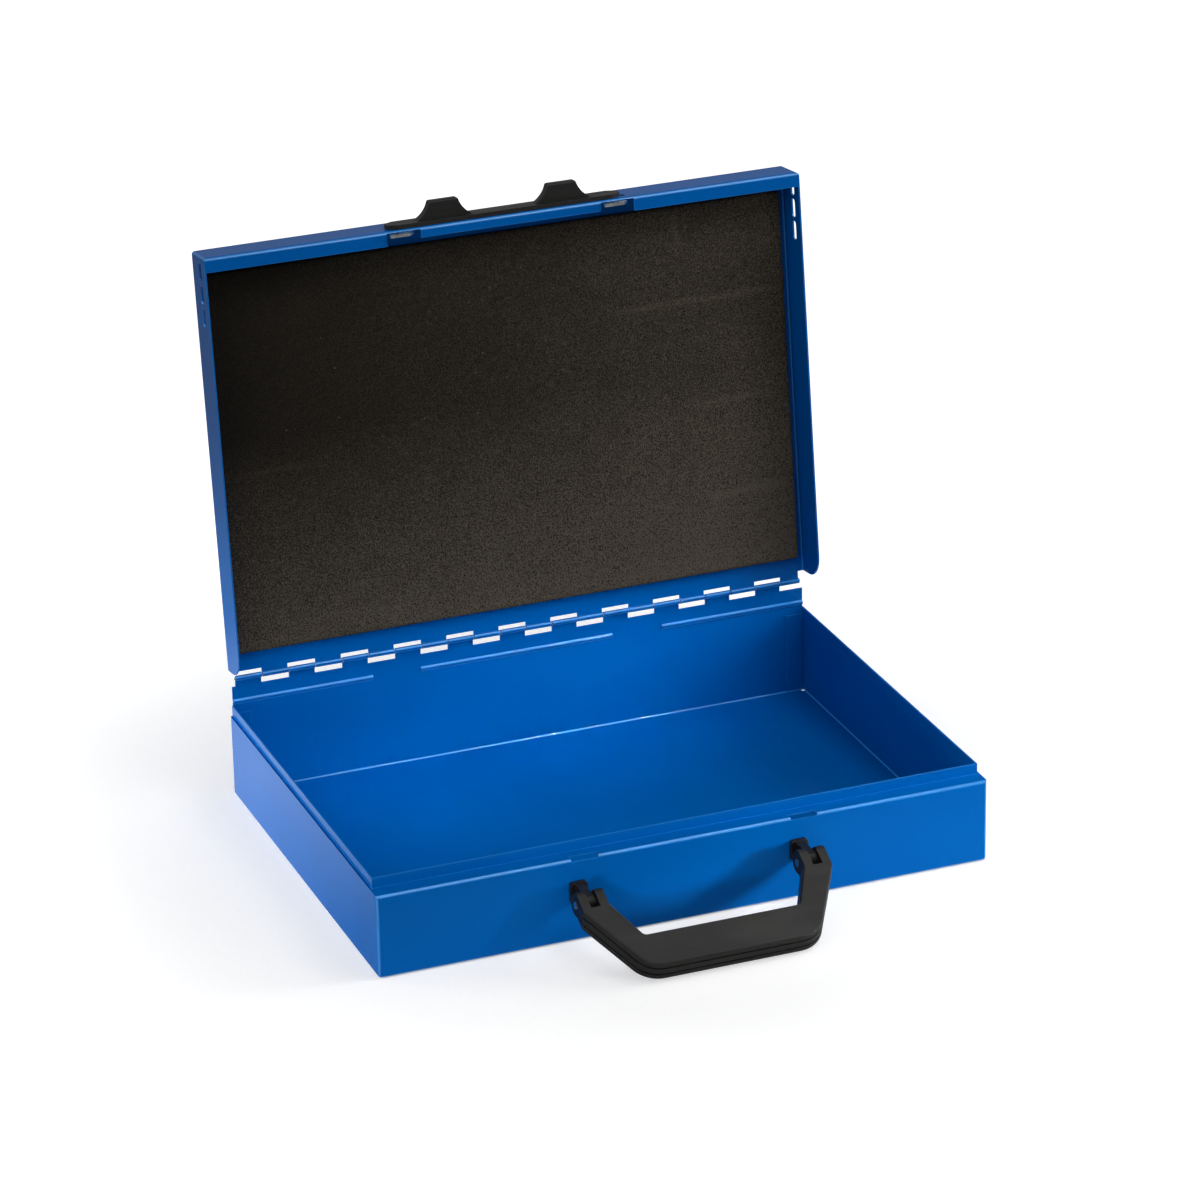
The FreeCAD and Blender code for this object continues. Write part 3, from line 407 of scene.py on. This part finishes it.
def quads(grid, flip=False):
    """The four-cornered faces between the points of a grid, turned over if asked."""
    corners = [grid[:-1, :-1], grid[:-1, 1:], grid[1:, 1:], grid[1:, :-1]]
    return np.stack(corners[::-1] if flip else corners, axis=-1).reshape(-1, 4)


def new_piece(name, points, faces):
    """A mesh object at the origin from arrays of points and faces."""
    mesh = bpy.data.meshes.new(name)
    mesh.from_pydata(points.tolist(), [], faces.tolist())
    made = bpy.data.objects.new(name, mesh)
    bpy.context.scene.collection.objects.link(made)
    return made


print("the lid leans back, degrees:", round(math.degrees(LEAN), 1))

# %% Face and back of the pad as two grids sewn along their outer line
def foam_pad():
    """Height field over (x, up): back + thickness * rise(x) * rise(up) - creases + swells."""
    xs = edge_rows(-PAD_HALF, PAD_HALF, LINES_ACROSS)
    ups = edge_rows(PAD_FROM, PAD_TO, LINES_UP)
    rise = np.minimum.outer(edge_rise(ups, PAD_FROM, PAD_TO), edge_rise(xs, -PAD_HALF, PAD_HALF))
    x, up = round_corners(*np.meshgrid(xs, ups))
    face = np.clip((rise - FACE_FROM) / (1.0 - FACE_FROM), 0, 1)
    pressed = face * creases(x, up)
    relief = SWELL * (swells(x, up) - 1.0) - CREASE_DEPTH * pressed
    deep = PAD_BACK + PAD_THICK * rise + face * relief

    index = np.arange(x.size).reshape(x.shape)
    rim = np.ones_like(index, dtype=bool)
    rim[1:-1, 1:-1] = False
    back = np.where(rim, index, index + x.size)
    points = np.concatenate([in_frame(x, up, deep), in_frame(x, up, np.full_like(x, PAD_BACK))])
    faces = np.concatenate([quads(index), quads(back, flip=True)])
    used = np.unique(faces)
    renumber = np.zeros(len(points), dtype=int)
    renumber[used] = np.arange(len(used))
    made = new_piece("foam_pad", points[used], renumber[faces])
    mesh = made.data
    mesh.validate()
    mesh.polygons.foreach_set("use_smooth", np.ones(len(mesh.polygons), dtype=bool))
    marks = np.concatenate([pressed.ravel(), np.zeros(x.size)])[used]
    mesh.attributes.new("crease", "FLOAT", "POINT").data.foreach_set("value", marks)
    return made


pad = foam_pad()
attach(pad, "lid")
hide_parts("foam_liner")
print("pad faces:", len(pad.data.polygons))

# %% [markdown]
# ## Open-cell foam
# Seen close, cut foam is a field of pores about a millimetre wide, dark inside with pale cut
# threads between. Cell distance gives the pores, fine noise scatters lighter specks and slow noise
# makes patches. The creases are stored at the pad's points and show as faint pale lines, and a few
# bits of dust lie on it. Painted light makes the pad paler towards its right and along its lower
# edge, and darker at its upper left. The surface is as matt as chalk.

# %% Foam finish for the pad
PORES, SPECKS, PATCHES, LINT = 1100.0, 1300.0, 34.0, 170.0     # to the metre
PORE_HEIGHT, PORE_STRENGTH = 0.0006, 0.50
DARK_FOAM, PALE_FOAM = (0.0100, 0.0084, 0.0060, 1.0), (0.0920, 0.0780, 0.0580, 1.0)
DUST = (0.150, 0.135, 0.115, 1.0)
# where the painted light on the pad rises, along X and up the lid
PAINTED_LIGHT_ACROSS = (-0.15, 0.14)     # along X, from dark to pale, in metres
PAINTED_LIGHT_BELOW = (0.085, 0.195)     # up the lid, from pale to dark, in metres


def open_cell_foam():
    finish, place = new_finish("open_cell_foam")
    thread = place.cells(PORES, Randomness=1.0).between(0.25, 0.75)
    specks = place.noise(SPECKS, 3.0, 0.65)
    patches = place.noise(PATCHES, 3.0)
    crease = place.node("ShaderNodeAttribute", {"attribute_name": "crease"}, None, FACTOR_OUT)
    lint = place.cells(LINT, Randomness=1.0)
    chosen = place.node("ShaderNodeSeparateXYZ", None, {0: lint.other("Color")})
    dust = (1.0 - lint.between(0.05, 0.11)) * chosen.between(0.72, 0.80)
    mottle = thread * 0.35 + specks.between(0.40, 0.75) * 0.65
    # painted light: the pad's colour is made paler towards its right and its lower edge
    across = place.node("ShaderNodeSeparateXYZ", None, {0: place})
    low_down = 1.0 - across.other("Z").between(*PAINTED_LIGHT_BELOW)
    rubbed_tone_and_painted_light = across.between(*PAINTED_LIGHT_ACROSS) * 1.1 + low_down * 1.6
    lit = (mottle * (0.70 + patches * 0.6) + crease * 0.22) * (0.15 + rubbed_tone_and_painted_light)
    colour = (dust * 0.5).tint(lit.tint(DARK_FOAM, PALE_FOAM), DUST)
    normal = (thread * 0.6 + specks * 0.6).bump(PORE_HEIGHT, PORE_STRENGTH)
    close_finish(place, Base_Color=colour, Roughness=0.92 + specks * 0.06, Normal=normal,
                 Specular_IOR_Level=0.05)
    return finish


pad.data.materials.append(open_cell_foam())
print("foam finish on", pad.name)

# %% [markdown]
# ## Table, lamps and camera
# The table is a wide pale sheet. To the camera it glows just enough to read as white, more so far
# out, while the lamps' shadows still show on it. It doesn't glow under the case, so the small
# relief holes at the folds stay dark. In reflections it glows beside the case's back corner, as
# the painted left wall shows it. The key lamp stands low at the right, so the right wall shades
# its end of the tray. A narrow strip aims at the fold between the tray's floor and back wall, and
# its light fades towards the front. Two narrow lamps brighten both ends of the front wall, a
# strip lights the left wall, a lamp overhead draws light lines on the bends and a weak one fills
# the left.

# %% A pale table that keeps the shadows
TABLE_HALF, TABLE_LEVEL = 9.0, -0.0003
TABLE_GREY = (0.60, 0.60, 0.60, 1.0)
NO_LIGHT, WHITE = (0.0, 0.0, 0.0, 1.0), (1.0, 1.0, 1.0, 1.0)
GLOW_NEAR, GLOW_FAR = 0.54, 0.95
REACH_FROM, REACH_TO = 0.21, 0.44
GLOW_MIRRORED, GLOW_PATCH = 0.05, 0.95
PATCH_IN, PATCH_OUT = (-0.06, 0.14), (0.20, 0.34)     # along Y, in metres
FOOT_HALF_WIDTH, FOOT_HALF_DEPTH = 0.165, 0.121
FOOT_SHIFT, FOOT_MIDDLE = 0.002, 0.005
FOOT_EDGE = (-0.004, 0.0005)


def glowing_grey():
    """Grey under the lamps, with a glow for the camera and reflections outside the case's foot."""
    finish, place = new_finish("pale_table")
    seen = place.node("ShaderNodeLightPath")
    far = place.node("ShaderNodeVectorMath", {"operation": "LENGTH"}, {0: place}, SUM_OUT)
    reach = far.between(REACH_FROM, REACH_TO)
    across = place.node("ShaderNodeSeparateXYZ", None, {0: place})
    behind = across.other("Y")
    past_side = (across - FOOT_SHIFT).size() - FOOT_HALF_WIDTH
    past_back = (behind - FOOT_MIDDLE).size() - FOOT_HALF_DEPTH
    open_to_light = place.maths("MAXIMUM", past_side, past_back).between(*FOOT_EDGE)
    patch = behind.between(*PATCH_IN) * (1.0 - behind.between(*PATCH_OUT))
    to_camera = seen * (GLOW_NEAR + reach * (GLOW_FAR - GLOW_NEAR))
    mirrored = seen.other("Is Glossy Ray") + seen.other("Is Transmission Ray")
    to_mirrors = mirrored * (GLOW_MIRRORED + patch * GLOW_PATCH)
    glow = ((to_camera + to_mirrors) * open_to_light).tint(NO_LIGHT, WHITE)
    plain = place.node("ShaderNodeBsdfDiffuse", None, {"Color": TABLE_GREY})
    shine = place.node("ShaderNodeEmission", None, {"Color": glow})
    both = place.node("ShaderNodeAddShader", None, {0: plain, 1: shine})
    place.node("ShaderNodeOutputMaterial", None, {"Surface": both})
    return finish


def pale_table():
    """A flat square grid of three by three points, at the case's foot."""
    side = np.linspace(-TABLE_HALF, TABLE_HALF, 3)
    x, y = np.meshgrid(side, side)
    points = np.stack([x, y, np.full_like(x, TABLE_LEVEL)], axis=-1).reshape(-1, 3)
    made = new_piece("table", points, quads(np.arange(x.size).reshape(x.shape)))
    made.data.materials.append(glowing_grey())
    return made


pale_table()
print("table half-width, m:", TABLE_HALF)

# %% Lamps
MIDDLE = (0.0, 0.0, 0.10)
WIDE_OPEN = 180.0
LAMPS = [
    # name, where it stands, what it faces, width and height in metres, watts, spread in degrees
    ("key", (0.72, -0.19, 0.42), (0.0, 0.03, 0.06), 0.35, 0.35, 0.46, 60.0),
    ("tray", (0.38, -0.88, 0.70), (-0.02, 0.11, -0.01), 0.25, 0.03, 0.026, 5.5),
    ("right", (0.55, -0.55, 0.12), (0.13, -0.116, 0.01), 0.25, 0.12, 0.080, 16.0),
    ("side", (-0.80, 0.62, 0.09), (-0.165, 0.11, 0.02), 0.40, 0.12, 0.34, 26.0),
    ("front", (-0.55, -1.25, 0.10), (-0.14, -0.12, 0.0), 0.30, 0.10, 0.05, 13.0),
    ("top", (0.34, -0.40, 1.10), MIDDLE, 0.60, 0.35, 3.0, WIDE_OPEN),
    ("fill", (-1.1, -0.7, 1.0), MIDDLE, 1.0, 1.0, 4.0, WIDE_OPEN),
]


def soft_lamp(name, spot, aim, wide, tall, watts, spread):
    """A soft box of wide x tall metres at `spot`, facing `aim`, fading over `spread` degrees."""
    data = bpy.data.lights.new(name, "AREA")
    data.shape = "RECTANGLE"
    data.size = wide
    data.size_y = tall
    data.energy = watts
    data.spread = math.radians(spread)
    lamp = bpy.data.objects.new(name, data)
    lamp.location = spot
    lamp.rotation_euler = (Vector(aim) - Vector(spot)).to_track_quat("-Z", "Y").to_euler()
    lamp.visible_camera = False
    bpy.context.scene.collection.objects.link(lamp)


for row in LAMPS:
    soft_lamp(*row)
print("lamps:", [row[0] for row in LAMPS])

# %% The pale surroundings
AROUND, AROUND_TO_CAMERA, AROUND_MIRRORED = 0.24, 0.76, 0.12
world = bpy.data.worlds.new("surroundings")
bpy.context.scene.world = world
world.use_nodes = True
world.node_tree.nodes.clear()
sky = Signal(world.node_tree)
path = sky.node("ShaderNodeLightPath")
mirrored = path.other("Is Glossy Ray") + path.other("Is Transmission Ray")
strength = AROUND + path * AROUND_TO_CAMERA + mirrored * AROUND_MIRRORED
pale = sky.node("ShaderNodeBackground", None, {"Color": WHITE, "Strength": strength})
sky.node("ShaderNodeOutputWorld", None, {"Surface": pale})
print("light from all around:", AROUND)

# %% [markdown]
# ## The camera
# The camera stands in front and to the left, a little above, far off with a long lens. Its
# place and turn were solved from the straight edges of the case, so it is written as a position
# and three directions: to the right of the picture, up it, and back towards the camera.

# %% Camera at the photograph's view
CAMERA_SPOT = (-0.87191, -2.25447, 1.17024)
PICTURE_RIGHT = (0.92967, -0.36795, -0.01798)
PICTURE_UP = (0.16105, 0.36204, 0.91815)
PICTURE_BACK = (-0.33133, -0.85647, 0.39583)
LENS, SENSOR_WIDTH = 154.395, 36.0
SIGHT_END = 50.0
lens = bpy.data.cameras.new("camera")
lens.lens = LENS
lens.sensor_width = SENSOR_WIDTH
lens.sensor_fit = "HORIZONTAL"
lens.clip_end = SIGHT_END
camera = bpy.data.objects.new("camera", lens)
turn = Matrix((PICTURE_RIGHT, PICTURE_UP, PICTURE_BACK)).transposed().to_4x4()
camera.matrix_world = Matrix.Translation(CAMERA_SPOT) @ turn
bpy.context.scene.collection.objects.link(camera)
bpy.context.scene.camera = camera
bpy.context.scene.view_settings.view_transform = "Standard"
print("lens, mm:", LENS)
